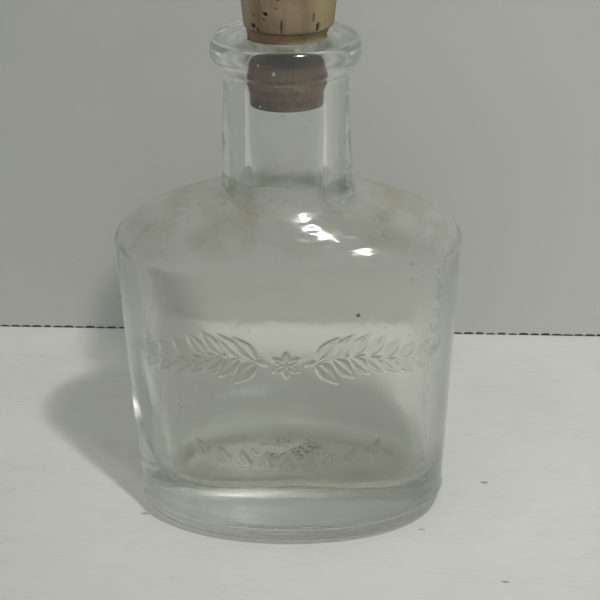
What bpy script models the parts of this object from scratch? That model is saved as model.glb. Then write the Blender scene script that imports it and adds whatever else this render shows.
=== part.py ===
"""Apothecary bottle: an oval glass bottle with a heavy base and a ringed neck, closed by a cork.

The glass is one blown piece: foot, body, domed shoulder, neck and lip around one hollow. The cork is
a second piece, held in the bore and drawn straight up. Lengths are metres, +Z is up, the front looks
along -Y, and the origin is the middle of the foot, on the surface that the bottle stands on.
"""

import math

import bmesh
import bpy

# Glass, outer form
SHOULDER_WIDTH = 0.0570
SHOULDER_DEPTH = 0.0318
FOOT_WIDTH = 0.0548
FOOT_DEPTH = 0.0308
SHOULDER_HEIGHT = 0.0517
DOME_RISE = 0.0110
NECK_ROOT_RADIUS = 0.0106
NECK_TOP_RADIUS = 0.00955
NECK_LENGTH = 0.0183
NECK_FILLET = 0.0016
LIP_OVERHANG = 0.0020
LIP_HEIGHT = 0.0051
HEEL_RADIUS = 0.0025
FOOT_RING = 0.0026
PUSH_UP = 0.0009

# Glass, hollow
SHOULDER_WALL = 0.0034
ROOF_WALL = 0.0030
FOOT_WALL = 0.0042
FLOOR_HEIGHT = 0.0102
FLOOR_CROWN = 0.0005
FLOOR_FILLET = 0.0055
BORE_MOUTH_RADIUS = 0.0063
BORE_ROOT_RADIUS = 0.0058
BORE_FLARE = 0.0020
MOUTH_ROUND = 0.0004

# Cork
CORK_LENGTH = 0.0220
CORK_DEPTH = 0.0114
CORK_CLEARANCE = 0.0003
CORK_TOP_RADIUS = 0.0077
CORK_SWELL_RADIUS = 0.0071
CORK_SWELL_HEIGHT = 0.0023
CORK_BAND_RADIUS = 0.0065
CORK_BAND_HEIGHT = 0.0013
CORK_EDGE = 0.0005

# Shape powers, shares and counts
OVAL_POWER = 2.06
LIP_FLAT_SHARE = 0.5
SEGMENTS = 64
CORK_SEGMENTS = 48
WELD_DISTANCE = 0.00001

# Heights and radii that follow
NECK_ROOT_HEIGHT = SHOULDER_HEIGHT + DOME_RISE
LIP_UNDERSIDE = NECK_ROOT_HEIGHT + NECK_LENGTH
MOUTH_HEIGHT = LIP_UNDERSIDE + LIP_HEIGHT
LIP_RADIUS = NECK_TOP_RADIUS + LIP_OVERHANG


def mix(start, end, share):
    """The value that lies a share of the way from start to end."""
    return start + (end - start) * share


def line(start, end, steps):
    """Points after start on a straight run to end."""
    return [
        (mix(start[0], end[0], i / steps), mix(start[1], end[1], i / steps))
        for i in range(1, steps + 1)
    ]


def arc(centre, radius, rise, first, last, steps):
    """Points of an elliptical arc, from the first angle to the last, both in degrees."""
    points = []
    for i in range(steps + 1):
        angle = math.radians(mix(first, last, i / steps))
        points.append((centre[0] + radius * math.cos(angle), centre[1] + rise * math.sin(angle)))
    return points


def fillet(start, corner, end, steps):
    """Points of a curve that leaves start and reaches end, drawn towards the corner."""
    points = []
    for i in range(steps + 1):
        share = i / steps
        first = [mix(start[k], corner[k], share) for k in range(2)]
        second = [mix(corner[k], end[k], share) for k in range(2)]
        points.append(tuple(mix(first[k], second[k], share) for k in range(2)))
    return points


def oval_radius(angle, width, depth):
    """Distance from the axis to an oval of that width and depth, at an angle round the axis."""
    across = abs(2 * math.cos(angle) / width) ** OVAL_POWER
    along = abs(2 * math.sin(angle) / depth) ** OVAL_POWER
    return (across + along) ** (-1 / OVAL_POWER)


def neck_radius(height):
    """Outer radius of the neck, which narrows a little towards the lip."""
    share = (height - NECK_ROOT_HEIGHT) / NECK_LENGTH
    return mix(NECK_ROOT_RADIUS, NECK_TOP_RADIUS, max(share, 0))


def bore_radius(height):
    """Radius of the bore, which narrows from the mouth to the shoulder."""
    share = (height - NECK_ROOT_HEIGHT) / (MOUTH_HEIGHT - NECK_ROOT_HEIGHT)
    return mix(BORE_ROOT_RADIUS, BORE_MOUTH_RADIUS, share)


def foot_profile(angle):
    """Underside and heel: a shallow push-up, a flat ring to stand on, and a rounded edge."""
    outside = oval_radius(angle, FOOT_WIDTH, FOOT_DEPTH)
    ring_outside = outside - HEEL_RADIUS
    ring_inside = ring_outside - FOOT_RING
    dish_shares = (0.3, 0.6, 0.8, 0.92)
    points = [(ring_inside * share, PUSH_UP * (1 - share**4)) for share in dish_shares]
    points.append((ring_inside, 0))
    points += arc((ring_outside, HEEL_RADIUS), HEEL_RADIUS, HEEL_RADIUS, -90, 0, 4)
    return points


def shoulder_profile(angle):
    """Wall and shoulder: a straight side, an elliptical dome, and a fillet into the neck."""
    outside = oval_radius(angle, SHOULDER_WIDTH, SHOULDER_DEPTH)
    join_angle = math.degrees(math.acos(NECK_ROOT_RADIUS / outside))
    join_height = SHOULDER_HEIGHT + DOME_RISE * math.sin(math.radians(join_angle))
    last_angle = math.degrees(math.acos((NECK_ROOT_RADIUS + NECK_FILLET) / outside))
    foot_edge = (oval_radius(angle, FOOT_WIDTH, FOOT_DEPTH), HEEL_RADIUS)
    points = line(foot_edge, (outside, SHOULDER_HEIGHT), 3)[:-1]
    dome = arc((0, SHOULDER_HEIGHT), outside, DOME_RISE, 0, last_angle, 9)
    neck_start = (neck_radius(join_height + NECK_FILLET), join_height + NECK_FILLET)
    corner = (NECK_ROOT_RADIUS, join_height)
    return points + dome + fillet(dome[-1], corner, neck_start, 4)[1:]


def lip_profile():
    """Neck above its fillet, the round lip, its flat top and the rounded mouth."""
    half = LIP_HEIGHT / 2
    centre = (LIP_RADIUS - half, LIP_UNDERSIDE + half)
    start = -math.degrees(math.acos((NECK_TOP_RADIUS - centre[0]) / half))
    points = [(neck_radius(NECK_ROOT_HEIGHT + NECK_LENGTH / 2), NECK_ROOT_HEIGHT + NECK_LENGTH / 2)]
    points += arc(centre, half, half, start, 90, 9)
    mouth = (bore_radius(MOUTH_HEIGHT) + MOUTH_ROUND, MOUTH_HEIGHT - MOUTH_ROUND)
    points.append((mix(centre[0], mouth[0], LIP_FLAT_SHARE), MOUTH_HEIGHT))
    points += arc(mouth, MOUTH_ROUND, MOUTH_ROUND, 90, 180, 3)
    return points


def hollow_profile(angle):
    """Bore, flare, domed roof, wall, rounded edge and crowned floor of the hollow, top to bottom."""
    roof = oval_radius(angle, SHOULDER_WIDTH - 2 * SHOULDER_WALL, SHOULDER_DEPTH - 2 * SHOULDER_WALL)
    rise = DOME_RISE - ROOF_WALL
    join_angle = math.degrees(math.acos(BORE_ROOT_RADIUS / roof))
    join_height = SHOULDER_HEIGHT + rise * math.sin(math.radians(join_angle))
    first_angle = math.degrees(math.acos((BORE_ROOT_RADIUS + BORE_FLARE) / roof))
    bore_top = (bore_radius(MOUTH_HEIGHT), MOUTH_HEIGHT - MOUTH_ROUND)
    bore_end = (bore_radius(join_height + BORE_FLARE), join_height + BORE_FLARE)
    dome = arc((0, SHOULDER_HEIGHT), roof, rise, first_angle, 0, 7)
    points = line(bore_top, bore_end, 3)[:-1]
    points += fillet(bore_end, (BORE_ROOT_RADIUS, join_height), dome[0], 4)
    points += dome[1:]
    wall = oval_radius(angle, FOOT_WIDTH - 2 * FOOT_WALL, FOOT_DEPTH - 2 * FOOT_WALL)
    wall_end = (wall, FLOOR_HEIGHT + FLOOR_FILLET)
    points += line(dome[-1], wall_end, 3)[:-1]
    edge = (wall - FLOOR_FILLET, FLOOR_HEIGHT + FLOOR_FILLET)
    points += arc(edge, FLOOR_FILLET, FLOOR_FILLET, 0, -90, 5)
    floor_shares = (0.75, 0.4)
    points += [
        (edge[0] * share, FLOOR_HEIGHT + FLOOR_CROWN * (1 - share**2)) for share in floor_shares
    ]
    return points


def glass_profile(angle):
    """The whole wall in one line: under the foot, up the outside, and down the inside."""
    return foot_profile(angle) + shoulder_profile(angle) + lip_profile() + hollow_profile(angle)


def glass_angle(index):
    """Angle of one profile. They lie closer together at the ends of the oval, where it curves most."""
    step = 2 * math.pi * index / SEGMENTS
    squeeze = math.sqrt(SHOULDER_DEPTH / SHOULDER_WIDTH)
    return math.atan2(squeeze * math.sin(step), math.cos(step))


def make_material(name, colour, roughness, transmission=0):
    """A plain material in the piece's own colour."""
    material = bpy.data.materials.new(name)
    material.use_nodes = True
    shader = material.node_tree.nodes["Principled BSDF"]
    shader.inputs["Base Color"].default_value = colour
    shader.inputs["Roughness"].default_value = roughness
    shader.inputs["Metallic"].default_value = 0
    shader.inputs["IOR"].default_value = 1.5
    shader.inputs["Transmission Weight"].default_value = transmission
    return material


def add_piece(name, mesh, material, collection):
    """Puts a mesh in the collection as one named piece, shaded smooth except at real edges."""
    mesh.materials.append(material)
    mesh.shade_smooth()
    mesh.set_sharp_from_angle(angle=math.radians(40))
    piece = bpy.data.objects.new(name, mesh)
    collection.objects.link(piece)
    return piece


def make_glass(collection):
    """Lofts the wall's profile round the axis, from the oval body to the round neck and back inside."""
    shape = bmesh.new()
    profiles = [glass_profile(glass_angle(j)) for j in range(SEGMENTS)]
    rings = []
    for j in range(SEGMENTS):
        angle = glass_angle(j)
        rings.append(
            [shape.verts.new((r * math.cos(angle), r * math.sin(angle), z)) for r, z in profiles[j]]
        )
    under = shape.verts.new((0, 0, PUSH_UP))
    floor = shape.verts.new((0, 0, FLOOR_HEIGHT + FLOOR_CROWN))
    for j in range(SEGMENTS):
        ring, following = rings[j], rings[(j + 1) % SEGMENTS]
        shape.faces.new((under, following[0], ring[0]))
        shape.faces.new((floor, ring[-1], following[-1]))
        for i in range(len(ring) - 1):
            shape.faces.new((ring[i], following[i], following[i + 1], ring[i + 1]))
    bmesh.ops.recalc_face_normals(shape, faces=shape.faces)
    mesh = bpy.data.meshes.new("glass_bottle")
    shape.to_mesh(mesh)
    shape.free()
    glass = make_material("clear_glass", (0.93, 0.95, 0.92, 1), 0.02, 1)
    return add_piece("glass_bottle", mesh, glass, collection)


def cork_fit(height):
    """Radius of the cork's gripped part, at a height above its lower end: the bore's, less a clearance."""
    return bore_radius(MOUTH_HEIGHT - CORK_DEPTH + height) - CORK_CLEARANCE


def make_cork(collection):
    """Turns the cork. Its profile runs down its outer side, from the free end to the end in the bore.

    The free part keeps the taper that it was cut with. Just above the mouth it is nipped in to a band,
    and below that it has the bore's own taper. Its origin is the middle of its lower end.
    """
    edge = (CORK_TOP_RADIUS - CORK_EDGE, CORK_LENGTH - CORK_EDGE)
    swell = (CORK_SWELL_RADIUS, CORK_DEPTH + CORK_SWELL_HEIGHT)
    band = (CORK_BAND_RADIUS, CORK_DEPTH + CORK_BAND_HEIGHT)
    mouth = (cork_fit(CORK_DEPTH), CORK_DEPTH)
    end = (cork_fit(CORK_EDGE), CORK_EDGE)
    profile = [(0, CORK_LENGTH)]
    profile += arc(edge, CORK_EDGE, CORK_EDGE, 90, 0, 3)
    profile += line(profile[-1], swell, 3)
    profile += fillet(swell, (swell[0], band[1]), band, 3)[1:]
    profile += line(band, mouth, 1)
    profile += line(mouth, end, 3)[:-1]
    profile += arc((end[0] - CORK_EDGE, end[1]), CORK_EDGE, CORK_EDGE, 0, -90, 3)
    profile.append((0, 0))

    mesh = bpy.data.meshes.new("cork_stopper")
    edges = [(i, i + 1) for i in range(len(profile) - 1)]
    mesh.from_pydata([(radius, 0, height) for radius, height in profile], edges, [])
    cork = make_material("cork", (0.42, 0.29, 0.16, 1), 0.85)
    piece = add_piece("cork_stopper", mesh, cork, collection)
    piece.location.z = MOUTH_HEIGHT - CORK_DEPTH
    turn = piece.modifiers.new("turn", "SCREW")
    turn.steps = CORK_SEGMENTS
    turn.render_steps = CORK_SEGMENTS
    turn.use_merge_vertices = True
    turn.merge_threshold = WELD_DISTANCE
    turn.use_smooth_shade = True
    return piece


def main():
    for thing in list(bpy.data.objects):
        bpy.data.objects.remove(thing)
    bottle = bpy.data.collections.new("apothecary_bottle")
    bpy.context.scene.collection.children.link(bottle)
    make_glass(bottle)
    make_cork(bottle)


main()
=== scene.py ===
import math

import bpy
import numpy as np
from mathutils import Matrix, Vector


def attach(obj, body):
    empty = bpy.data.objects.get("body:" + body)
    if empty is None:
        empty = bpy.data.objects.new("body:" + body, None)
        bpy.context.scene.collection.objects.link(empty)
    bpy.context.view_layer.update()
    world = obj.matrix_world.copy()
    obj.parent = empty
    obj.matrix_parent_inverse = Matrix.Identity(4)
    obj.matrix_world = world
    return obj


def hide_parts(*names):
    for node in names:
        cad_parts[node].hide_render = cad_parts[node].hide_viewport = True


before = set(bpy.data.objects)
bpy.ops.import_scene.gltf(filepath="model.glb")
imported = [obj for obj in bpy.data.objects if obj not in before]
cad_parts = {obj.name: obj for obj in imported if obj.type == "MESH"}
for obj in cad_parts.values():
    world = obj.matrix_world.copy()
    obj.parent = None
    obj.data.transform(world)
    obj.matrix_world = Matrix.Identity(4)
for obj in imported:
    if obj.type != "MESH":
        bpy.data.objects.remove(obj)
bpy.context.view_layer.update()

# The bottle and its cork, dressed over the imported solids. Metres, +Z up, the front looks along -Y.

# Glass, outer form
SHOULDER_WIDTH = 0.0570
SHOULDER_DEPTH = 0.0317
FOOT_WIDTH = 0.0548
FOOT_DEPTH = 0.0308
SHOULDER_HEIGHT = 0.0525
FRONT_RISE = 0.0013
NECK_ROOT_HEIGHT = 0.0616
NECK_ROOT_RADIUS = 0.0106
NECK_TOP_RADIUS = 0.00955
NECK_LENGTH = 0.0194
NECK_FILLET = 0.0009
BACK_DROP = 0.0012
LIP_OVERHANG = 0.0020
LIP_HEIGHT = 0.0051
LIP_SWELL = 0.0026
LIP_SHOULDER = 0.00125
LIP_POWER = 2.6
HEEL_RADIUS = 0.0034
FOOT_RING = 0.0026
PUSH_UP = 0.0009

# Glass, hollow
SHOULDER_WALL = 0.0034
ROOF_WALL = 0.0030
ROOF_DROP = 0.0015
FOOT_WALL = 0.0047
FLOOR_HEIGHT = 0.0102
FLOOR_CROWN = 0.0005
FLOOR_DROP = 0.0028
FRONT_FLOOR_FILLET = 0.0030
BACK_FLOOR_FILLET = 0.0095
BORE_MOUTH_RADIUS = 0.0063
BORE_ROOT_RADIUS = 0.0058
BORE_FLARE = 0.0038
MOUTH_ROUND = 0.0004
LEFT_WALL_TOP = 0.0026
LEFT_WALL_LOW = 0.0056
RIGHT_WALL_TOP = 0.0028
RIGHT_WALL_LOW = 0.0036

# How square the ovals are, and how full the shoulder is: 2 is an ellipse, 1 a straight slope
OVAL_POWER = 2.07
HOLLOW_POWER = 2.5
SIDE_DOME_POWER = 1.81
FRONT_DOME_POWER = 1.42

# Waves of the glass, each a height and the length from crest to crest
SKIN_WAVE, SKIN_WAVE_LENGTH = 0.00003, 0.010
DOME_WAVE, DOME_WAVE_LENGTH = 0.000045, 0.0010
HOLLOW_WAVE, HOLLOW_WAVE_LENGTH = 0.00002, 0.014

# Raised work: the lines round the heel, each at a height and so far out, and the ornament
HEEL_LINES = ((0.0043, 0.00026), (0.0060, 0.00006))
HEEL_LINE_SPREAD = 0.00036
RELIEF_HEIGHT = 0.00013
SPRIG_HEIGHT = 0.0372
SPRIG_PITCH = 0.0027
# How much of the grime and painted edge shade the sprig takes
SPRIG_GRIME_AND_SHADE = 0.5
SWAG_HEIGHT = 0.0182
SWAG_PITCH = 0.0034
SWAG_BOLDNESS = 2.0

# Parts of the outer wall whose rows of points lie closer together, each a middle and a reach
FINE_ROWS = ((SPRIG_HEIGHT, 0.0070), (SWAG_HEIGHT + 0.001, 0.0036), (0.0036, 0.0036))

# Cork
CORK_LENGTH = 0.0209
CORK_DEPTH = 0.0103
CORK_CLEARANCE = 0.0003
CORK_TOP_RADIUS = 0.0077
CORK_SWELL_RADIUS = 0.0071
CORK_SWELL_HEIGHT = 0.0023
CORK_BAND_RADIUS = 0.0065
CORK_BAND_HEIGHT = 0.0013
CORK_EDGE = 0.0005
CORK_FLAT = 0.0004
CORK_INSET = 0.00005
CORK_ROUGHNESS = 0.00004
PORE_DEPTH = 0.00030
CREASE_DEPTH = 0.00016
CREASE_SPREAD = 0.00016

# Sizes that follow from those above
LIP_UNDERSIDE = NECK_ROOT_HEIGHT + NECK_LENGTH
MOUTH_HEIGHT = LIP_UNDERSIDE + LIP_HEIGHT
LIP_RADIUS = NECK_TOP_RADIUS + LIP_OVERHANG
CORK_FOOT_HEIGHT = MOUTH_HEIGHT - CORK_DEPTH

# Colours of the glass and of what lies on it
GLASS_TINT = (0.83, 0.875, 0.825, 1)
GLASS_SHADOW = (0.42, 0.42, 0.42, 1)
CLEAR_GLASS = (0.985, 0.99, 0.98, 1)
SHOULDER_DUST = (0.66, 0.63, 0.45, 1)
INNER_FILM = (0.985, 0.985, 0.945, 1)
SMUDGE = (0.30, 0.27, 0.20, 1)
# Grime along the ornament's edges, also painted shade where the raised work's slopes bend the light
GRIME_AND_EDGE_SHADE = (0.50, 0.47, 0.36, 1)
# The foot's colour: rubbed glass, darkened as well with painted shade of the floor under the bottle
RUBBED_FOOT_AND_SHADE = (0.60, 0.59, 0.53, 1)
CLOUDED_FLOOR = (0.90, 0.89, 0.85, 1)
DIRT_DOTS = (0.55, 0.53, 0.45, 1)
DARK_FLAKES = (0.10, 0.07, 0.05, 1)
STONE = (0.01, 0.01, 0.01, 1)

# Colours of the cork
CORK_DARK = (0.128, 0.094, 0.052, 1)
CORK_LIGHT = (0.170, 0.133, 0.072, 1)
CORK_PATCHES = (0.095, 0.067, 0.038, 1)
# Painted light on the cork: a lit tone for its right side and a shaded tone for its left
CORK_RIGHT_PAINTED_LIT = (0.235, 0.192, 0.098, 1)
CORK_LEFT_PAINTED_SHADED = (0.330, 0.275, 0.178, 1)
GROWTH_LINES = (0.190, 0.098, 0.046, 1)
CORK_DOTS = (0.045, 0.030, 0.018, 1)
# The cork in the neck: stained, and darkened with painted shade, blackest at the front just under
# the mouth
STAINED_SHADED_DARK = (0.092, 0.073, 0.053, 1)
STAINED_SHADED_LIGHT = (0.178, 0.126, 0.074, 1)
BLACK_STAIN_AND_SHADE = (0.028, 0.027, 0.029, 1)
PORE = (0.010, 0.008, 0.007, 1)

# Paint of the stage, with painted light in it: a plain tone at the near left, near right, far left
# and far right, each set to how much light falls there
FLOOR_PAINT_WITH_LIGHT = (
    (0.442, 0.446, 0.420, 1),
    (0.480, 0.484, 0.457, 1),
    (0.560, 0.565, 0.528, 1),
    (0.566, 0.571, 0.538, 1),
)
WALL_PAINT_WITH_LIGHT = (
    (0.318, 0.323, 0.300, 1),
    (0.374, 0.378, 0.348, 1),
    (0.226, 0.229, 0.212, 1),
    (0.275, 0.278, 0.257, 1),
)
# The seam's black is painted shadow in the gap between floor and wall
SEAM_SHADOW_PAINT = ((0.02, 0.02, 0.02, 1),) * 4
WORN_PAINT = (0.36, 0.35, 0.31, 1)
PAINT_LINES = (0.26, 0.25, 0.22, 1)
PAINT_SPECKS = (0.12, 0.11, 0.09, 1)

# Stage, camera and light
STAGE_HEIGHT = -1e-4
STAGE_REACH = 2.0
STAGE_SPREAD = 0.09
WALL_TOP = 0.9
WALL_REACH = 0.6
SEAM_LEFT = Vector((-0.0703, 0.0630, 0))
SEAM_RIGHT = Vector((0.0694, 0.0596, 0))
SEAM_PITCH = 0.00252
CAMERA_PLACE = (0.00616, -0.17161, 0.13167)
CAMERA_LENS = 69
CAMERA_PITCH = math.radians(27.93)
CAMERA_YAW = math.radians(-1.426)
CAMERA_ROLL = math.radians(-0.443)
LAMP_PLACE = Vector((0.078, -0.133, 0.287))
LAMP_AIM = Vector((0, 0, 0.03))
LAMP_SIZE = 0.017
LAMP_POWER = 0.58
LAMP_COLOUR = (1.0, 0.985, 0.95)
ROOM_COLOUR = (0.97, 0.99, 1.0, 1)
ROOM_BEHIND = 0.24
ROOM_IN_FRONT = 1.50
ROOM_MIRRORED = 0.35
BOUNCES = 32


def mix(start, end, share):
    return start + (end - start) * share


def smooth(edge, full, value):
    """0 below edge, 1 above full, with a soft step between."""
    share = np.clip((value - edge) / (full - edge), 0, 1)
    return share * share * (3 - 2 * share)


def spread(weights, count):
    """Shares from 0 to 1 that lie closer together where the weights are high."""
    total = np.concatenate([[0], np.cumsum(weights)])
    return np.interp(np.linspace(0, total[-1], count), total, np.linspace(0, 1, len(total)))


def even(steps):
    return [i / steps for i in range(1, steps + 1)]


def ripple(points, length, seed):
    """A smooth uneven height between -1 and 1, with waves of about that length."""
    rng = np.random.default_rng(seed)
    waves = 7
    height = np.zeros(points.shape[:-1])
    for _ in range(waves):
        way = rng.normal(size=3)
        way *= 2 * math.pi / (length * rng.uniform(0.7, 1.5) * np.linalg.norm(way))
        height += np.sin(points @ way + rng.uniform(0, 2 * math.pi))
    return height / waves


# ---- meshes ----


def skin_normals(grid):
    """Normals of closed rings of points: rings down the first axis, turns along the second."""
    along = np.gradient(grid, axis=0)
    around = np.roll(grid, -1, axis=1) - np.roll(grid, 1, axis=1)
    normal = np.cross(around, along)
    return normal / np.maximum(np.linalg.norm(normal, axis=-1, keepdims=True), 1e-12)


def skin_faces(stations, count, flip=False):
    """Quads between neighbouring rings, and a fan from each end ring to its tip.

    The two tips are the points that follow the rings.
    """
    rings = np.arange(stations * count).reshape(stations, count)
    after = np.roll(rings, -1, axis=1)
    quads = np.stack([rings[:-1], after[:-1], after[1:], rings[1:]], axis=-1).reshape(-1, 4)
    tip = np.full(count, stations * count)
    first_fan = np.stack([tip, after[0], rings[0]], axis=-1)
    last_fan = np.stack([tip + 1, rings[-1], after[-1]], axis=-1)
    fans = np.concatenate([first_fan, last_fan])
    if flip:
        quads, fans = quads[:, ::-1], fans[:, [0, 2, 1]]
    return quads.tolist() + fans.tolist()


def new_mesh(name, points, faces, marks):
    """A smooth mesh with named shares at its points, 0 at those past the end of a list."""
    mesh = bpy.data.meshes.new(name)
    mesh.from_pydata(points, [], faces)
    for label, shares in marks.items():
        values = np.zeros(len(points), np.float32)
        values[: len(shares)] = shares
        mesh.attributes.new(label, "FLOAT", "POINT").data.foreach_set("value", values)
    mesh.shade_smooth()
    return mesh


class Profile:
    """Stations of a wall's profile, each a radius and a height at every turn round the axis."""

    def __init__(self, turns):
        self.turns = turns
        self.radii = []
        self.heights = []

    def put(self, radius, height):
        self.radii.append(np.broadcast_to(radius, self.turns.shape).copy())
        self.heights.append(np.broadcast_to(height, self.turns.shape).copy())

    def last(self):
        return self.radii[-1], self.heights[-1]

    def run(self, radius, height, shares):
        """A straight line from the last station."""
        r, h = self.last()
        for share in shares:
            self.put(mix(r, radius, share), mix(h, height, share))

    def arc(self, radius, height, wide, high, first, last, steps):
        """An arc round a centre, from one angle to another in degrees."""
        for share in even(steps):
            angle = np.radians(mix(first, last, share))
            self.put(radius + wide * np.cos(angle), height + high * np.sin(angle))

    def dome(self, edge, low, inner, high, left_out, steps):
        """Shoulder from its widest ring in to the root of the neck."""
        for i in range(1, steps + 1):
            turn = math.pi / 2 * i / steps
            radius = inner + left_out + (edge - inner - left_out) * math.cos(turn)
            self.put(radius, dome_height(radius, self.turns, edge, low, inner, high))

    def fillet(self, corner, end, steps):
        """A curve from the last station to end, drawn towards the corner."""
        r, h = self.last()
        for s in even(steps):
            self.put(
                mix(mix(r, corner[0], s), mix(corner[0], end[0], s), s),
                mix(mix(h, corner[1], s), mix(corner[1], end[1], s), s),
            )

    def grid(self):
        r, z = np.array(self.radii), np.array(self.heights)
        return np.stack([r * np.cos(self.turns), r * np.sin(self.turns), z], axis=-1)


# ---- glass ----


def oval_radius(angle, width, depth, power=OVAL_POWER):
    across = np.abs(2 * np.cos(angle) / width) ** power
    along = np.abs(2 * np.sin(angle) / depth) ** power
    return (across + along) ** (-1 / power)


def hollow_radius(angle, width, depth, left, right, wall):
    """The hollow's oval, a little square, with its own wall at the left and the right end."""
    side = np.where(np.cos(angle) < 0, left, right)
    return oval_radius(angle, width - 2 * side, depth - 2 * wall, HOLLOW_POWER)


def dome_power(turns):
    """How full the shoulder's curve is: round at the sides, nearly straight down the front."""
    return mix(SIDE_DOME_POWER, FRONT_DOME_POWER, np.sin(turns) ** 2)


def dome_height(radius, turns, edge, low, inner, high):
    """Height of a shoulder that springs from edge at low and reaches the radius inner at high."""
    power = dome_power(turns)
    rise = (1 - np.minimum(radius / edge, 1) ** power) ** (1 / power)
    return low + (high - low) * rise / (1 - (inner / edge) ** power) ** (1 / power)


def neck_radius(height):
    share = (height - NECK_ROOT_HEIGHT) / NECK_LENGTH
    return mix(NECK_ROOT_RADIUS, NECK_TOP_RADIUS, np.maximum(share, 0))


def bore_radius(height):
    share = (height - NECK_ROOT_HEIGHT) / (MOUTH_HEIGHT - NECK_ROOT_HEIGHT)
    return mix(BORE_ROOT_RADIUS, BORE_MOUTH_RADIUS, share)


def glass_turns():
    """Turns round the axis, closer together across the front, where the mould's relief is."""
    around = np.linspace(0, 2 * math.pi, 2001)[:-1]
    facing = smooth(-0.55, 0.1, -np.sin(around)) * smooth(0.95, 0.7, abs(np.cos(around)))
    around = 2 * math.pi * spread(1 + 1.9 * facing, 421)[:-1]
    squeeze = math.sqrt(SHOULDER_DEPTH / SHOULDER_WIDTH)
    return np.arctan2(squeeze * np.sin(around), np.cos(around))


def outside_profile(turns):
    """Push-up, foot ring, heel, wall, shoulder, neck and lip, from below to the mouth."""
    foot = oval_radius(turns, FOOT_WIDTH, FOOT_DEPTH)
    shoulder = oval_radius(turns, SHOULDER_WIDTH, SHOULDER_DEPTH)
    ring_out = foot - HEEL_RADIUS
    ring_in = ring_out - FOOT_RING
    wall = Profile(turns)
    for share in np.linspace(0.06, 0.98, 14):
        wall.put(ring_in * share, PUSH_UP * (1 - share**4))
    wall.put(ring_in, 0)
    wall.run(ring_out, 0, even(3))
    wall.arc(ring_out, HEEL_RADIUS, HEEL_RADIUS, HEEL_RADIUS, -90, 0, 8)

    rows = np.linspace(HEEL_RADIUS, SHOULDER_HEIGHT, 400)
    closeness = 1 + 4 * sum((abs(rows - middle) < reach).astype(int) for middle, reach in FINE_ROWS)
    spring = SHOULDER_HEIGHT + FRONT_RISE * np.sin(turns) ** 2
    wall.run(shoulder, spring, spread(closeness, 160)[1:])

    root = NECK_ROOT_HEIGHT - BACK_DROP * np.maximum(np.sin(turns), 0) ** 2
    wall.dome(shoulder, spring, NECK_ROOT_RADIUS, root, NECK_FILLET, 80)
    above = root + NECK_FILLET
    wall.fillet((NECK_ROOT_RADIUS, root), (neck_radius(above), above), 9)
    wall.run(NECK_TOP_RADIUS, LIP_UNDERSIDE, even(24)[:-1])

    centre = LIP_RADIUS - LIP_SWELL
    middle = LIP_UNDERSIDE + LIP_SWELL
    start = -math.degrees(math.acos((NECK_TOP_RADIUS - centre) / LIP_SWELL))
    wall.arc(centre, middle, LIP_SWELL, LIP_SWELL, start, 0, 10)
    for turn in np.linspace(0, math.pi / 2, 22)[1:]:
        wide = 1 - math.cos(turn) ** (2 / LIP_POWER)
        high = math.sin(turn) ** (2 / LIP_POWER)
        wall.put(LIP_RADIUS - LIP_SHOULDER * wide, mix(middle, MOUTH_HEIGHT, high))
    wall.run(BORE_MOUTH_RADIUS + MOUTH_ROUND, MOUTH_HEIGHT, even(4))
    return wall


def hollow_profile(turns, wall):
    """Goes on from the mouth: bore, flare, roof, inner wall, rounded edge and crowned floor."""
    mouth = BORE_MOUTH_RADIUS + MOUTH_ROUND
    wall.arc(mouth, MOUTH_HEIGHT - MOUTH_ROUND, MOUTH_ROUND, MOUTH_ROUND, 90, 180, 6)
    high = NECK_ROOT_HEIGHT - ROOF_WALL
    bore_end = high + BORE_FLARE
    wall.run(bore_radius(bore_end), bore_end, even(24))

    sides = LEFT_WALL_TOP, RIGHT_WALL_TOP, SHOULDER_WALL
    roof = hollow_radius(turns, SHOULDER_WIDTH, SHOULDER_DEPTH, *sides)
    low = SHOULDER_HEIGHT - ROOF_DROP + FRONT_RISE * np.sin(turns) ** 2
    start = BORE_ROOT_RADIUS + BORE_FLARE
    dome_start = (start, dome_height(start, turns, roof, low, BORE_ROOT_RADIUS, high))
    wall.fillet((BORE_ROOT_RADIUS, high), dome_start, 9)
    for share in np.cos(np.linspace(math.pi / 2, 0, 25))[1:]:
        radius = mix(start, roof, share)
        wall.put(radius, dome_height(radius, turns, roof, low, BORE_ROOT_RADIUS, high))

    sides = LEFT_WALL_LOW, RIGHT_WALL_LOW, FOOT_WALL
    foot = hollow_radius(turns, FOOT_WIDTH, FOOT_DEPTH, *sides)
    bend = mix(FRONT_FLOOR_FILLET, BACK_FLOOR_FILLET, smooth(-0.7, 1.0, np.sin(turns)))
    edge = foot - bend
    drop = FLOOR_DROP * (2 * foot * np.cos(turns) / (FOOT_WIDTH - 2 * FOOT_WALL)) ** 2
    low = FLOOR_HEIGHT - drop
    wall.run(foot, low + bend, even(36))
    wall.arc(edge, low + bend, bend, bend, 0, -90, 16)
    for share in np.linspace(0.92, 0.08, 12):
        wall.put(edge * share, FLOOR_HEIGHT - drop * share**2 + FLOOR_CROWN * (1 - share**2))
    return wall


def leaf(x, z, at, tilt, length, width):
    """Height of one pressed leaf with a fine middle vein, 0 to 1."""
    c, s = math.cos(math.radians(tilt)), math.sin(math.radians(tilt))
    u = ((x - at[0]) * c + (z - at[1]) * s) / length
    v = (-(x - at[0]) * s + (z - at[1]) * c) / width
    blade = np.where((u > 0) & (u < 1), np.sin(math.pi * np.clip(u, 0, 1) ** 0.8), 0)
    vein = 0.45 * np.exp(-((v / 0.08) ** 2))
    return smooth(0.0, 0.28, blade - 2 * abs(v)) * (1 - vein)


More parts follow.
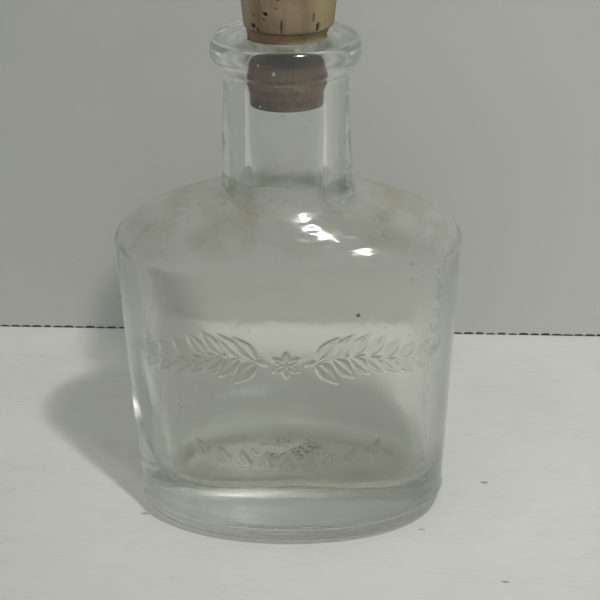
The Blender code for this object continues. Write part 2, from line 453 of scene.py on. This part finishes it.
def sprig_relief(x, z):
    """A pair of leafy sprigs that part from a small rosette, as raised from the mould."""
    across, up = abs(x), z - SPRIG_HEIGHT

    def stem(at):
        return 0.0013 * np.sin(at / 0.0041 - 0.7)

    height = 0.75 * np.exp(-(((up - stem(across)) / 0.00028) ** 2))
    height *= smooth(0.0026, 0.0036, across) * (1 - smooth(0.0222, 0.0230, across))
    for k in range(7):
        at = 0.0046 + SPRIG_PITCH * k
        length, width = 0.0062 - 0.00040 * k, 0.0029 - 0.00013 * k
        for tilt in (48, -48):
            height = np.maximum(height, leaf(across, up, (at, stem(at)), tilt, length, width))
    tip = (0.0224, stem(0.0224))
    height = np.maximum(height, leaf(across, up, tip, 6, 0.0036, 0.0021))
    for k in range(6):
        height = np.maximum(height, leaf(x, up, (0, 0), 60 * k + 30, 0.0028, 0.0014))
    return np.maximum(height, 1 - smooth(0.0004, 0.0008, np.hypot(x, up)))


def swag_relief(x, z):
    """A hanging row of small upright leaves above the heel, each with a leaflet at either side."""
    height = np.zeros_like(x)
    for k in range(-4, 5):
        at = SWAG_PITCH * k
        foot = (at, SWAG_HEIGHT - 0.0018 + 0.0026 * (at / 0.0150) ** 2)
        tilt = 90 - 7 * k
        height = np.maximum(height, leaf(x, z, foot, tilt, 0.0036, 0.0018))
        for side in (48, -48):
            leaflet = leaf(x, z, foot, tilt + side, 0.0021, 0.0011)
            height = np.maximum(height, 0.8 * leaflet)
    return height


def ornament(x, z, front):
    """Height of the raised ornament, and the grime and painted shade along its edges, each as a
    share.
    """
    sprig, swag = sprig_relief(x, z) * front, swag_relief(x, z) * front
    height = np.maximum(sprig, SWAG_BOLDNESS * swag)
    height *= smooth(0.012, 0.014, z) * (1 - smooth(0.045, 0.046, z))
    raised = np.maximum(SPRIG_GRIME_AND_SHADE * sprig, swag)
    return height, 4 * raised * (1 - raised)


def glass_surface(grid, outside):
    """The skin with its ornament, heel lines and waves, and the share of grime and painted edge
    shade at each point.
    """
    normal = skin_normals(grid)
    x, z = grid[..., 0], grid[..., 2]
    relief, grime_and_edge_shade = ornament(x, z, smooth(0.2, 0.5, -normal[..., 1]) * outside)
    wall = outside * smooth(0.0015, 0.004, z)
    skin = (ripple(grid, SKIN_WAVE_LENGTH, 3) - 1) * wall * SKIN_WAVE
    hollow = ripple(grid, HOLLOW_WAVE_LENGTH, 8) * (1 - outside) * HOLLOW_WAVE
    hollow *= 1 - smooth(0.058, 0.062, z)
    dome = outside * smooth(SHOULDER_HEIGHT + 0.001, SHOULDER_HEIGHT + 0.003, z)
    dome *= 1 - smooth(NECK_ROOT_HEIGHT, NECK_ROOT_HEIGHT + 0.002, z)
    rings = (ripple(grid * [0.35, 0.35, 1], DOME_WAVE_LENGTH, 12) - 1) * dome * DOME_WAVE
    lines = [out * np.exp(-(((z - at) / HEEL_LINE_SPREAD) ** 2)) for at, out in HEEL_LINES]
    lift = relief * RELIEF_HEIGHT + skin + hollow + rings + sum(lines) * outside
    return grid + normal * lift[..., None], grime_and_edge_shade


def ball(centre, size, steps=10):
    """Points and faces of a small ball that looks inwards, as the skin of a bubble in glass."""
    x, y, z = centre
    count = 2 * steps
    points = [
        (
            x + size * math.sin(math.pi * i / steps) * math.cos(math.pi * j / steps),
            y + size * math.sin(math.pi * i / steps) * math.sin(math.pi * j / steps),
            z + size * math.cos(math.pi * i / steps),
        )
        for i in range(1, steps)
        for j in range(count)
    ]
    top, foot = len(points), len(points) + 1
    points += [(x, y, z + size), (x, y, z - size)]
    faces = []
    for j in range(count):
        k = (j + 1) % count
        faces.append((top, k, j))
        faces.append((foot, (steps - 2) * count + j, (steps - 2) * count + k))
        for i in range(steps - 2):
            faces.append((i * count + j, i * count + k, (i + 1) * count + k, (i + 1) * count + j))
    return points, faces


def bubble_places():
    """Centre and size of each seed bubble: some in the neck and lip, the body and the shoulder."""
    places = []
    for x, height, size in (
        (-0.0033, 0.0836, 0.00015),
        (-0.0013, 0.0828, 0.00020),
        (-0.0010, 0.0810, 0.00013),
        (-0.0034, 0.0772, 0.00014),
        (0.0019, 0.0786, 0.00010),
        (0.0040, 0.0700, 0.00009),
        (-0.0052, 0.0668, 0.00012),
    ):
        places.append(((x, -math.sqrt(0.0082**2 - x * x), height), size))
    rng = np.random.default_rng(21)
    for _ in range(26):
        turn = rng.uniform(0, 2 * math.pi)
        height = rng.uniform(0.016, 0.050)
        share = (height - HEEL_RADIUS) / (SHOULDER_HEIGHT - HEEL_RADIUS)
        width = mix(FOOT_WIDTH, SHOULDER_WIDTH, share)
        depth = mix(FOOT_DEPTH, SHOULDER_DEPTH, share)
        middle = float(oval_radius(np.array(turn), width, depth)) - 0.0012
        centre = (middle * math.cos(turn), middle * math.sin(turn), height)
        places.append((centre, rng.uniform(0.00006, 0.00015)))
    places.append(((0.0192, -0.0102, 0.0528), 0.00030))
    places.append(((0.0194, -0.0104, 0.0502), 0.00024))
    return places


def make_glass_mesh():
    """The bottle: outer skin and hollow as one closed wall, with bubbles in the glass."""
    turns = glass_turns()
    wall = outside_profile(turns)
    outside = len(wall.radii)
    grid = hollow_profile(turns, wall).grid()
    stations, count = grid.shape[:2]
    inside = np.arange(stations) >= outside
    grid, grime_and_edge_shade = glass_surface(grid, 1.0 - inside[:, None])
    tips = [[0, 0, PUSH_UP], [0, 0, FLOOR_HEIGHT + FLOOR_CROWN]]
    points = np.concatenate([grid.reshape(-1, 3), tips]).tolist()
    faces = skin_faces(stations, count)
    for centre, size in bubble_places():
        first = len(points)
        more, skins = ball(centre, size)
        points += more
        faces += [[first + i for i in skin] for skin in skins]
    inside = np.concatenate([np.repeat(inside, count), [False, True]])
    return new_mesh("bottle_glass", points, faces, {"inside": inside, "grime_and_edge_shade": grime_and_edge_shade.ravel()})


# ---- cork ----


def cork_pores(turns, heights):
    """Depth share of the cork's pores, 0 to 1, at each turn round it and height over the mouth."""
    rng = np.random.default_rng(4)
    places = [
        (-2.02, 0.0044, 0.00042, 0.00032),
        (-2.40, 0.0023, 0.00060, 0.00040),
        (-2.25, 0.0018, 0.00030, 0.00030),
        (-1.67, 0.0026, 0.00018, 0.00115),
        (-0.85, 0.0022, 0.00035, 0.00080),
        (-0.98, 0.0036, 0.00016, 0.00060),
    ]
    for _ in range(22):
        wide = rng.uniform(0.00006, 0.00016)
        turn = rng.uniform(-math.pi, math.pi)
        height = rng.uniform(0.0014, 0.0113)
        places.append((turn, height, wide, wide * rng.uniform(0.7, 2.6)))
    depth = np.zeros_like(heights)
    for turn, height, wide, tall in places:
        off = (turns - turn + math.pi) % (2 * math.pi) - math.pi
        away = np.hypot(off * CORK_SWELL_RADIUS / wide, (heights - height) / tall)
        depth = np.maximum(depth, 1 - smooth(0.55, 1.15, away))
    return depth


def cork_profile(turns):
    """Tapered above, nipped to a band at the mouth, and with the bore's own taper below."""
    low, top = CORK_FOOT_HEIGHT, CORK_FOOT_HEIGHT + CORK_LENGTH
    skin = Profile(turns)
    rim = CORK_TOP_RADIUS - CORK_EDGE
    for share in np.linspace(0.08, 0.95, 10):
        skin.put(rim * share, top)
    skin.put(rim, top)
    skin.arc(rim, top - CORK_EDGE, CORK_EDGE, CORK_EDGE, 90, 0, 5)
    flat = CORK_FLAT * smooth(0.2, 0.9, -np.cos(turns))
    swell = (CORK_SWELL_RADIUS - flat, MOUTH_HEIGHT + CORK_SWELL_HEIGHT)
    band = (CORK_BAND_RADIUS - flat / 3, MOUTH_HEIGHT + CORK_BAND_HEIGHT)
    skin.run(*swell, even(90))
    skin.fillet((swell[0], band[1]), band, 14)
    skin.run(bore_radius(MOUTH_HEIGHT) - CORK_CLEARANCE, MOUTH_HEIGHT, even(14))
    end = bore_radius(low + CORK_EDGE) - CORK_CLEARANCE
    skin.run(end, low + CORK_EDGE, even(60))
    skin.arc(end - CORK_EDGE, low + CORK_EDGE, CORK_EDGE, CORK_EDGE, 0, -90, 5)
    for share in np.linspace(0.95, 0.08, 10):
        skin.put((end - CORK_EDGE) * share, low)
    return skin


def make_cork_mesh():
    """The cork, pored and creased above the mouth and a little out of true, its foot at 0."""
    turns = np.linspace(0, 2 * math.pi, 257)[:-1]
    grid = cork_profile(turns).grid()
    radius, height = np.hypot(grid[..., 0], grid[..., 1]), grid[..., 2] - MOUTH_HEIGHT
    side = smooth(0.0045, 0.0052, radius) * (1 - smooth(0.0110, 0.0116, height))
    pores = cork_pores(np.broadcast_to(turns, height.shape), height) * side
    pores *= smooth(0.0012, 0.0018, height)
    ridge = ripple(grid * [1, 1, 0.5], 0.0016, 5) * CORK_ROUGHNESS * side
    crease = np.exp(-(((height - CORK_BAND_HEIGHT) / CREASE_SPREAD) ** 2)) * CREASE_DEPTH * side
    sunk = PORE_DEPTH * pores + crease - ridge + CORK_INSET
    pinch = np.where(height > 0, 1 - sunk / np.maximum(radius, 0.002), 1)
    grid[..., 0] *= pinch
    grid[..., 1] *= pinch
    above = np.maximum(height, 0)
    lean = 0.00004 + 0.020 * np.maximum(height + 0.011, 0) + 0.012 * above
    grid[..., 0] += np.minimum(lean, 0.00026 + 0.035 * above)

    stations, count = grid.shape[:2]
    tips = [[0.0006, 0, CORK_FOOT_HEIGHT + CORK_LENGTH], [0.00004, 0, CORK_FOOT_HEIGHT]]
    points = np.concatenate([grid.reshape(-1, 3), tips])
    points[:, 2] -= CORK_FOOT_HEIGHT
    band = smooth(CORK_BAND_HEIGHT + 0.0001, CORK_BAND_HEIGHT - 0.0001, height)
    # The part in the neck, whose colour is stained and darkened with painted shade
    stained_and_shaded = 1 - smooth(-0.0006, 0.0002, height)
    marks = {"pore": pores.ravel(), "band": band.ravel(), "stained_and_shaded": [*stained_and_shaded.ravel(), 0, 1]}
    return new_mesh("cork", points.tolist(), skin_faces(stations, count, flip=True), marks)


def add_piece(name, mesh, material, body, slot, *nodes, lift=0):
    """One visible piece: it rides a body and stands for the solids that are named."""
    mesh.materials.clear()
    mesh.materials.append(material)
    piece = bpy.data.objects.new(name, mesh)
    piece.location.z = lift
    bpy.context.scene.collection.objects.link(piece)
    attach(piece, body)
    if nodes:
        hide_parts(*nodes)
    return piece


# ---- nodes ----


def new_material(name):
    material = bpy.data.materials.new(name)
    material.use_nodes = True
    material.node_tree.nodes.clear()
    return material, material.node_tree


def put(tree, kind, inputs=None, **settings):
    """Adds a node, sets its options, and sets or links its inputs by name or number."""
    node = tree.nodes.new(kind)
    for key, value in settings.items():
        setattr(node, key, value)
    for key, value in (inputs or {}).items():
        if isinstance(value, bpy.types.NodeSocket):
            tree.links.new(value, node.inputs[key])
        else:
            node.inputs[key].default_value = value
    return node


def calc(tree, operation, first, second):
    return put(tree, "ShaderNodeMath", {0: first, 1: second}, operation=operation).outputs[0]


def times(tree, first, second):
    return calc(tree, "MULTIPLY", first, second)


def ramp(tree, value, low, high, start=0.0, end=1.0, kind="LINEAR"):
    """Start where a value is at low, end where it is at high, and on a line between."""
    inputs = {"Value": value, "From Min": low, "From Max": high, "To Min": start, "To Max": end}
    node = put(tree, "ShaderNodeMapRange", inputs, interpolation_type=kind)
    return node.outputs["Result"]


def step(tree, value, low, high, start=0.0, end=1.0):
    """A ramp with soft ends."""
    return ramp(tree, value, low, high, start, end, "SMOOTHSTEP")


def between(tree, value, low, full, fading, gone):
    """0 below low, 1 from full to fading, and 0 again past gone."""
    return times(tree, step(tree, value, low, full), step(tree, value, gone, fading))


def scaled(tree, place, stretch):
    inputs = {0: place, 1: stretch}
    return put(tree, "ShaderNodeVectorMath", inputs, operation="MULTIPLY").outputs[0]


def near(tree, place, centre, stretch, reach):
    """1 close to a place and 0 beyond the reach, with its own stretch along each axis."""
    offset = put(tree, "ShaderNodeVectorMath", {0: place, 1: centre}, operation="SUBTRACT")
    far = {0: scaled(tree, offset.outputs[0], stretch)}
    distance = put(tree, "ShaderNodeVectorMath", far, operation="LENGTH").outputs["Value"]
    return step(tree, distance, reach, reach * 0.5)


def blend(tree, share, first, second):
    """The colour that lies that share of the way from first to second."""
    return put(tree, "ShaderNodeMix", {0: share, 6: first, 7: second}, data_type="RGBA").outputs[2]


def layers(tree, colour, *coats):
    """Lays each coat, a mask and its colour, over what lies below it."""
    for mask, tone in coats:
        colour = blend(tree, mask, colour, tone)
    return colour


def mark(tree, name):
    """A share that the mesh holds at its points."""
    return put(tree, "ShaderNodeAttribute", attribute_name=name).outputs["Fac"]


def object_place(tree):
    """The place on the piece, and its X, Y and Z."""
    place = put(tree, "ShaderNodeTexCoord").outputs["Object"]
    return place, put(tree, "ShaderNodeSeparateXYZ", {"Vector": place}).outputs


def mottled(tree, mottle, place, fineness):
    """The clouds and the spots of the mottle group."""
    inputs = {"Place": place, "Fineness": fineness}
    return put(tree, "ShaderNodeGroup", inputs, node_tree=mottle).outputs


def dotted(tree, specks, place, closeness, size):
    """The dots of the specks group."""
    inputs = {"Place": place, "Closeness": closeness, "Size": size}
    return put(tree, "ShaderNodeGroup", inputs, node_tree=specks).outputs["Dots"]


def surface(tree, colour, roughness, relief, strength, distance, **more):
    """A shader with a colour, a roughness and a fine relief that change over the surface."""
    inputs = {"Height": relief, "Strength": strength, "Distance": distance}
    normal = put(tree, "ShaderNodeBump", inputs).outputs["Normal"]
    inputs = {"Base Color": colour, "Roughness": roughness, "Normal": normal}
    inputs |= {key.replace("_", " "): value for key, value in more.items()}
    return put(tree, "ShaderNodeBsdfPrincipled", inputs).outputs[0]


def see_through(tree, share, shader, **colour):
    """The shader where the share is 0, and a plain see-through one where it is 1."""
    through = put(tree, "ShaderNodeBsdfTransparent", colour).outputs[0]
    return put(tree, "ShaderNodeMixShader", {0: share, 1: shader, 2: through}).outputs[0]


def new_group(name, inputs, outputs):
    """A shader node group with its named inputs and outputs, and their two ends."""
    group = bpy.data.node_groups.new(name, "ShaderNodeTree")
    for label, kind in inputs:
        group.interface.new_socket(label, in_out="INPUT", socket_type=kind)
    for label, kind in outputs:
        group.interface.new_socket(label, in_out="OUTPUT", socket_type=kind)
    return group, put(group, "NodeGroupInput"), put(group, "NodeGroupOutput")


def mottle_group():
    """Uneven clouds with finer spots in them, from 0 to 1."""
    group, start, end = new_group(
        "mottle",
        (("Place", "NodeSocketVector"), ("Fineness", "NodeSocketFloat")),
        (("Clouds", "NodeSocketFloat"), ("Spots", "NodeSocketFloat")),
    )
    place, fine = start.outputs["Place"], start.outputs["Fineness"]
    broad = {"Vector": place, "Scale": fine, "Detail": 3.0}
    close = {"Vector": place, "Scale": times(group, fine, 6.0), "Detail": 4.0, "Roughness": 0.7}
    clouds = step(group, put(group, "ShaderNodeTexNoise", broad).outputs["Fac"], 0.38, 0.66)
    spots = step(group, put(group, "ShaderNodeTexNoise", close).outputs["Fac"], 0.46, 0.68)
    group.links.new(clouds, end.inputs["Clouds"])
    group.links.new(times(group, clouds, spots), end.inputs["Spots"])
    return group


def specks_group():
    """Separate small dots of uneven size, 1 on a dot and 0 between them."""
    group, start, end = new_group(
        "specks",
        (
            ("Place", "NodeSocketVector"),
            ("Closeness", "NodeSocketFloat"),
            ("Size", "NodeSocketFloat"),
        ),
        (("Dots", "NodeSocketFloat"),),
    )
    inputs = {"Vector": start.outputs["Place"], "Scale": start.outputs["Closeness"]}
    cells = put(group, "ShaderNodeTexVoronoi", inputs).outputs
    lot = put(group, "ShaderNodeSeparateColor", {"Color": cells["Color"]}).outputs["Red"]
    reach = times(group, step(group, lot, 0.55, 1.0), start.outputs["Size"])
    dots = ramp(group, cells["Distance"], reach, times(group, reach, 0.6))
    group.links.new(dots, end.inputs["Dots"])
    return group


# ---- materials ----


def glass_material(mottle, specks):
    """Clear pressed glass, old and used.

    Its shoulder is dusty, its heel, foot and lip are rubbed, its foot is darkened with painted shade
    as well, and grime and painted shade lie along the ornament's edges.
    Inside it is filmed over, crazed in two places, and has dried dregs on its floor.
    """
    material, tree = new_material("clear_old_glass")
    place, (x, y, height) = object_place(tree)
    inside, grime_and_edge_shade = mark(tree, "inside"), mark(tree, "grime_and_edge_shade")
    outside = calc(tree, "SUBTRACT", 1.0, inside)
    clouds, spots = mottled(tree, mottle, place, 150.0)
    crumbs = mottled(tree, mottle, place, 260.0)["Spots"]
    dots = dotted(tree, specks, place, 520.0, 0.17)

    # Outside: dust and a smudge on the shoulder, the rubbed lip, heel and foot, and its two ends;
    # the foot is also darkened as painted shade of the floor beneath
    shoulder = between(tree, height, 0.0535, 0.0580, 0.0615, 0.0630)
    grain = times(tree, clouds, step(tree, crumbs, 0.0, 0.35, 0.55, 1.0))
    dust = times(tree, times(tree, shoulder, grain), outside)
    smudge = near(tree, place, (0.0125, -0.0075, 0.0595), (1.0, 1.0, 1.5), 0.0042)
    smudge = times(tree, times(tree, smudge, spots), outside)
    lip = times(tree, step(tree, height, 0.0808, 0.0815), outside)
    scuffed = times(tree, step(tree, height, 0.0857, 0.0860), outside)
    worn = times(tree, between(tree, height, 0.0036, 0.0040, 0.0042, 0.0046), outside)
    foot = times(tree, step(tree, height, 0.0034, 0.0010), outside)
    aside = calc(tree, "ABSOLUTE", x, 0.0)
    ends = times(tree, step(tree, aside, 0.0235, 0.0262), outside)

    # Inside: a film up to the shoulder, haziest at its top and its sides, then floor and crazing
    film = times(tree, step(tree, height, 0.060, 0.045), inside)
    haze = times(tree, film, step(tree, height, 0.040, 0.052, 0.35, 1.0))
    sides = times(tree, step(tree, aside, 0.0185, 0.0225), film)
    low = times(tree, step(tree, height, 0.016, 0.012), inside)
    bottom = times(tree, step(tree, height, 0.0245, 0.0205), inside)
    behind = times(tree, bottom, step(tree, y, -0.007, 0.001))
    middle = near(tree, place, (-0.0010, 0.0008, 0.0106), (1.0, 2.0, 1.0), 0.0085)
    flakes = times(tree, times(tree, middle, low), step(tree, crumbs, 0.0, 0.12))
    back = near(tree, place, (0.0000, 0.0120, 0.0215), (1.0, 1.0, 1.4), 0.0115)
    side = near(tree, place, (0.0235, -0.0040, 0.0440), (1.0, 0.6, 0.45), 0.0055)
    crazed = times(tree, times(tree, calc(tree, "MAXIMUM", back, side), spots), inside)

    # Inside and out: the root of the neck, dots of dirt from the shoulder up, a stone in the wall
    root = between(tree, height, 0.0572, 0.0584, 0.0632, 0.0655)
    dirt = times(tree, dots, times(tree, step(tree, height, 0.052, 0.056), 0.6))
    stone = near(tree, place, (0.0113, -0.0152, 0.0457), (1.0, 0.3, 1.0), 0.00050)

    colour = layers(
        tree,
        CLEAR_GLASS,
        (dust, SHOULDER_DUST),
        (film, INNER_FILM),
        (times(tree, smudge, 0.6), SMUDGE),
        # grime and painted shade along the ornament's edges
        (times(tree, grime_and_edge_shade, 0.34), GRIME_AND_EDGE_SHADE),
        # rubbed foot, darkened with painted shade
        (foot, RUBBED_FOOT_AND_SHADE),
        (times(tree, low, clouds), CLOUDED_FLOOR),
        (dirt, DIRT_DOTS),
        (flakes, DARK_FLAKES),
        (stone, STONE),
    )
    rough = step(tree, haze, 0.0, 1.0, 0.03, 0.20)
    for mask, amount in (
        (low, 0.22),
        (dust, 0.16),
        (foot, 0.30),
        (lip, 0.09),
        (scuffed, 0.08),
        (root, step(tree, inside, 0.0, 1.0, 0.08, 0.26)),
        (behind, 0.24),
        (sides, 0.20),
        (ends, 0.09),
    ):
        rough = calc(tree, "ADD", rough, times(tree, mask, amount))
    sheen = calc(tree, "MAXIMUM", times(tree, dust, 0.35), worn)
    waves = put(tree, "ShaderNodeTexNoise", {"Vector": place, "Scale": 240.0, "Detail": 2.0})
    relief = calc(tree, "SUBTRACT", waves.outputs["Fac"], times(tree, dots, 0.5))
    relief = calc(tree, "ADD", relief, times(tree, crazed, 2.5))

    glass = surface(
        tree,
        colour,
        rough,
        relief,
        strength=0.12,
        distance=0.0002,
        IOR=1.52,
        Transmission_Weight=1.0,
        Coat_Weight=sheen,
        Coat_Roughness=0.28,
    )
    shadow_ray = put(tree, "ShaderNodeLightPath").outputs["Is Shadow Ray"]
    skin = see_through(tree, shadow_ray, glass, Color=GLASS_SHADOW)
    tint = put(tree, "ShaderNodeVolumeAbsorption", {"Color": GLASS_TINT, "Density": 21.0})
    put(tree, "ShaderNodeOutputMaterial", {"Surface": skin, "Volume": tint.outputs[0]})
    return material


def cork_material(mottle, specks):
    """Dry cork above the mouth with painted light and shade on its sides, stained and darkened with
    painted shade in the neck, with dark pores and reddish growth lines.
    """
    material, tree = new_material("dry_cork")
    place, parts = object_place(tree)
    along = scaled(tree, place, (1.0, 1.0, 0.28))
    layered = scaled(tree, place, (0.35, 0.35, 3.2))
    clouds, spots = mottled(tree, mottle, along, 420.0)
    patches = mottled(tree, mottle, place, 170.0)["Clouds"]
    lines = mottled(tree, mottle, layered, 300.0)["Clouds"]
    dots = dotted(tree, specks, place, 900.0, 0.26)
    # Painted light: the lit tone goes on the right side, the shaded tone on the left side
    right = step(tree, parts["X"], 0.0028, 0.0058)
    left = step(tree, parts["X"], -0.0035, -0.0062)
    # Painted shade and stain: the cork in the neck darker, blackest at the front just under the
    # mouth
    black_stain_and_shade = near(tree, place, (0.0002, -0.0060, 0.0098), (0.7, 0.3, 1.0), 0.0040)

    wet_and_shaded = layers(tree, STAINED_SHADED_DARK, (lines, STAINED_SHADED_LIGHT), (black_stain_and_shade, BLACK_STAIN_AND_SHADE))
    colour = layers(
        tree,
        CORK_DARK,
        (clouds, CORK_LIGHT),
        (times(tree, patches, 0.6), CORK_PATCHES),
        (times(tree, right, 0.7), CORK_RIGHT_PAINTED_LIT),
        (times(tree, left, 0.8), CORK_LEFT_PAINTED_SHADED),
        (times(tree, mark(tree, "band"), lines), GROWTH_LINES),
        (times(tree, dots, 0.55), CORK_DOTS),
        (mark(tree, "stained_and_shaded"), wet_and_shaded),
        (mark(tree, "pore"), PORE),
    )
    rough = step(tree, clouds, 0.0, 1.0, 0.92, 0.78)
    relief = calc(tree, "SUBTRACT", spots, times(tree, dots, 1.2))
    cork = surface(tree, colour, rough, relief, strength=0.5, distance=0.00018)
    put(tree, "ShaderNodeOutputMaterial", {"Surface": cork})
    return material


def stage_material(name, tones, up, span, roughness, grain, mottle, specks):
    """A painted sheet with fine lines and specks, which shows only from its front.

    Its tones, which carry painted light, are those of its near left, near right, far left and far
    right, and it goes from near to far over a span of the axis up. Grain is how strongly the lines
    show.
    """
    material, tree = new_material(name)
    place, parts = object_place(tree)
    near_left, near_right, far_left, far_right = tones
    across = ramp(tree, parts["X"], -STAGE_SPREAD, STAGE_SPREAD)
    close = blend(tree, across, near_left, near_right)
    far = blend(tree, across, far_left, far_right)
    clouds, spots = mottled(tree, mottle, place, 45.0)
    lines = mottled(tree, mottle, scaled(tree, place, (0.20, 1.0, 1.0)), 230.0)["Spots"]
    dots = dotted(tree, specks, scaled(tree, place, (0.40, 1.0, 1.0)), 200.0, 0.090)
    colour = layers(
        tree,
        close,
        (ramp(tree, parts[up], *span), far),
        (times(tree, clouds, 0.10), WORN_PAINT),
        (times(tree, lines, grain), PAINT_LINES),
        (times(tree, dots, 4 * grain), PAINT_SPECKS),
    )
    rough = calc(tree, "SUBTRACT", roughness, times(tree, spots, 0.08))
    paint = surface(tree, colour, rough, spots, strength=0.08, distance=0.0002)
    behind = put(tree, "ShaderNodeNewGeometry").outputs["Backfacing"]
    put(tree, "ShaderNodeOutputMaterial", {"Surface": see_through(tree, behind, paint)})
    return material


# ---- stage, camera and light ----


def add_sheet(name, points, faces, material):
    mesh = bpy.data.meshes.new(name)
    mesh.from_pydata(points, [], faces)
    mesh.materials.append(material)
    sheet = bpy.data.objects.new(name, mesh)
    bpy.context.scene.collection.objects.link(sheet)


def make_stage(mottle, specks):
    """The floor and the wall behind it, with painted light in their tones, and a painted shadow in
    the uneven gap where they meet.
    """
    groups = mottle, specks
    # The floor's and the wall's tones are painted light: brighter where more light falls on them
    floor_paint_with_light = stage_material(
        "floor_paint_with_light", FLOOR_PAINT_WITH_LIGHT, "Y", (-0.06, 0.06), 0.75, 0.17, *groups
    )
    wall_paint_with_light = stage_material("wall_paint_with_light", WALL_PAINT_WITH_LIGHT, "Z", (0.0, 0.11), 0.75, 0.04, *groups)
    # Painted shadow: the seam's dark dashes stand for the shade in the gap
    dark = stage_material("seam_shadow", SEAM_SHADOW_PAINT, "Z", (0.0, 0.01), 0.9, 0.05, *groups)

    square = [(0, 1, 2, 3)]
    floor = [
        (side * STAGE_REACH, away * STAGE_REACH, STAGE_HEIGHT)
        for side, away in ((-1, -1), (1, -1), (1, 1), (-1, 1))
    ]
    add_sheet("floor", floor, square, floor_paint_with_light)
    way = (SEAM_RIGHT - SEAM_LEFT).normalized()
    start, end = SEAM_LEFT - way * WALL_REACH, SEAM_RIGHT + way * WALL_REACH
    up = Vector((0, 0, WALL_TOP))
    add_sheet("wall", [start, end, end + up, start + up], square, wall_paint_with_light)

    rng = np.random.default_rng(9)
    arc = 8
    points, faces = [], []
    for k in range(-40, 96):
        centre = SEAM_LEFT + way * (SEAM_PITCH * (k + 0.5)) + Vector((0, -0.0002, 0))
        half = SEAM_PITCH * rng.uniform(0.36, 0.53)
        tall = rng.uniform(0.00034, 0.00058)
        first = len(points)
        for i in range(arc + 1):
            turn = math.pi * i / arc
            foot = centre - way * (half * math.cos(turn))
            high = 0.00007 + tall * math.sin(turn) ** 0.7
            points += [foot + Vector((0, 0, high)), foot]
        for i in range(first, first + 2 * arc, 2):
            faces.append((i + 1, i + 3, i + 2, i))
    add_sheet("seam", points, faces, dark)


def make_camera():
    data = bpy.data.cameras.new("camera")
    data.sensor_width = 36
    data.lens = CAMERA_LENS
    data.clip_start = 0.005
    camera = bpy.data.objects.new("camera", data)
    bpy.context.scene.collection.objects.link(camera)
    pitch, yaw, roll = CAMERA_PITCH, CAMERA_YAW, CAMERA_ROLL
    flat = math.cos(pitch)
    ahead = Vector((math.sin(yaw) * flat, math.cos(yaw) * flat, -math.sin(pitch)))
    level = Vector((math.cos(yaw), -math.sin(yaw), 0))
    above = level.cross(ahead)
    right = level * math.cos(roll) + above * math.sin(roll)
    up = above * math.cos(roll) - level * math.sin(roll)
    matrix = Matrix((right, up, -ahead)).transposed().to_4x4()
    matrix.translation = CAMERA_PLACE
    camera.matrix_world = matrix
    bpy.context.scene.camera = camera


def make_room():
    """Light from all round, stronger from the front and weaker where the glass mirrors it."""
    room = bpy.data.worlds.new("room")
    bpy.context.scene.world = room
    room.use_nodes = True
    tree = room.node_tree
    sky = tree.nodes["Background"]
    sky.inputs["Color"].default_value = ROOM_COLOUR
    way = put(tree, "ShaderNodeTexCoord").outputs["Generated"]
    front = put(tree, "ShaderNodeSeparateXYZ", {"Vector": way}).outputs["Y"]
    level = ramp(tree, front, 0.0, -1.0, ROOM_BEHIND, ROOM_IN_FRONT)
    mirrored = put(tree, "ShaderNodeLightPath").outputs["Is Glossy Ray"]
    dimmed = step(tree, mirrored, 0.0, 1.0, 1.0, ROOM_MIRRORED)
    tree.links.new(times(tree, level, dimmed), sky.inputs["Strength"])


def make_lamp():
    lamp = bpy.data.lights.new("key", "AREA")
    lamp.shape = "DISK"
    lamp.size = LAMP_SIZE
    lamp.energy = LAMP_POWER
    lamp.color = LAMP_COLOUR
    key = bpy.data.objects.new("key", lamp)
    bpy.context.scene.collection.objects.link(key)
    key.location = LAMP_PLACE
    toward = (LAMP_PLACE - LAMP_AIM).normalized()
    key.rotation_mode = "QUATERNION"
    key.rotation_quaternion = (-toward).to_track_quat("-Z", "Y")


def main():
    mottle, specks = mottle_group(), specks_group()
    clear_glass = glass_material(mottle, specks)
    dry_cork = cork_material(mottle, specks)
    glass, cork = make_glass_mesh(), make_cork_mesh()
    add_piece("bottle_glass", glass, clear_glass, "bottle", "clear_glass", "glass_bottle")
    lift = CORK_FOOT_HEIGHT
    add_piece("cork", cork, dry_cork, "stopper", "cork", "cork_stopper", lift=lift)
    make_stage(mottle, specks)
    make_camera()
    make_room()
    make_lamp()
    scene = bpy.context.scene
    scene.view_settings.view_transform = "Standard"
    scene.cycles.use_denoising = True
    scene.cycles.max_bounces = BOUNCES
    scene.cycles.glossy_bounces = BOUNCES
    scene.cycles.transmission_bounces = BOUNCES
    scene.cycles.transparent_max_bounces = BOUNCES


main()
